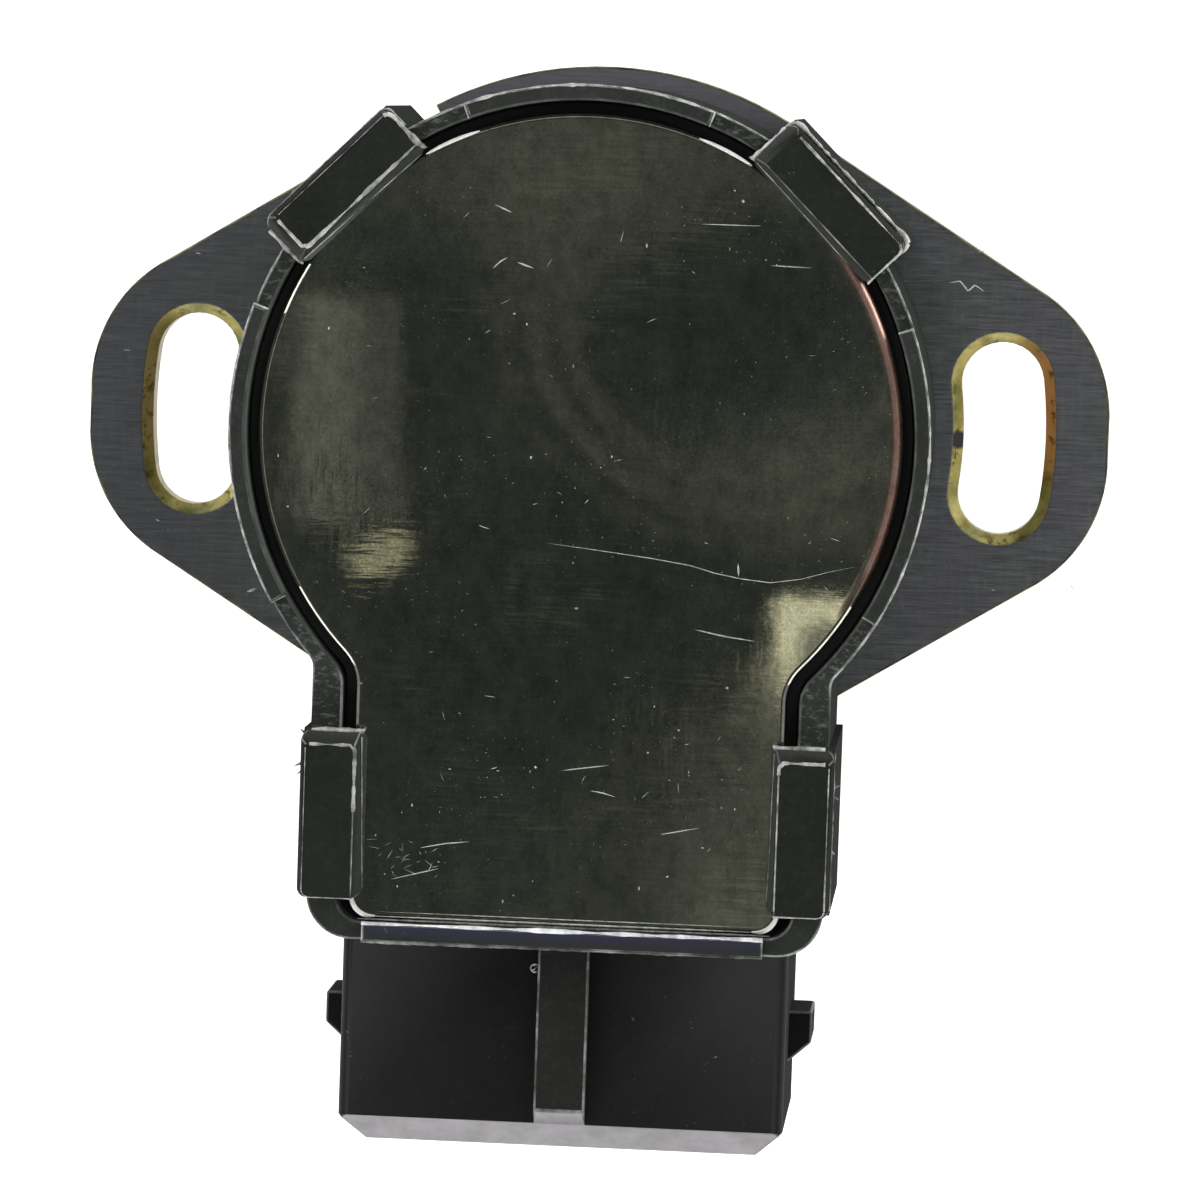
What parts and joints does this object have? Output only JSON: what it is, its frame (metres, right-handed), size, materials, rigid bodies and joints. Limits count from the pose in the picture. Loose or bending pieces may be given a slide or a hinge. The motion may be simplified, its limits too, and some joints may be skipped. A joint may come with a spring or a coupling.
{
  "type": "throttle position sensor",
  "caption": "Rotary throttle position sensor: keyhole-shaped moulded housing with a staked metal cover, slotted steel mounting plate, driven rotor and a flat blade connector.",
  "frame": {"origin": "rotor axis at the mounting plate's seating face on the throttle body", "axes": "+Z along the rotor axis towards the cover, -Y towards the connector's mouth, +X across the two mounting ears"},
  "size_m": [0.0562, 0.0582, 0.0198],
  "materials": {
    "housing_plastic": "satin black glass-filled moulding",
    "plate_steel": "dark passivated, finely brushed",
    "cover_steel": "dark polished",
    "seal_rubber": "matte",
    "card_ceramic": "matte ceramic",
    "track_ink": "printed ink",
    "terminal_metal": "tin plated",
    "contact_bronze": "bright spring bronze",
    "rotor_plastic": "moulded grey",
    "spring_steel": "drawn wire and strip",
    "bushing_bronze": "sintered",
    "washer_plastic": "matte"
  },
  "bodies": {
    "sensor": {"housing": "housing_plastic", "mounting_plate": "plate_steel", "cover_plate": "cover_steel", "cover_seal": "seal_rubber", "resistor_card": "card_ceramic", "resistor_track": "track_ink", "collector_track": "track_ink", "terminal_1": "terminal_metal", "terminal_2": "terminal_metal", "terminal_3": "terminal_metal", "contact_clip_1": "contact_bronze", "contact_clip_2": "contact_bronze", "contact_clip_3": "contact_bronze", "return_spring": "spring_steel", "rotor_bushing": "bushing_bronze", "thrust_washer": "washer_plastic", "shaft_seal": "seal_rubber"},
    "rotor": {"rotor": "rotor_plastic", "wiper": "contact_bronze", "drive_clip": "spring_steel"}
  },
  "joints": [
    {"name": "rotor_turn", "type": "hinge", "parent": "sensor", "child": "rotor", "pos_m": [0, 0, 0], "axis": [0, 0, 1], "range_deg": [0, 100], "stiffness_Nm_per_rad": 0.02, "springref_deg": -17.19, "deforming": ["return_spring"]}
  ]
}
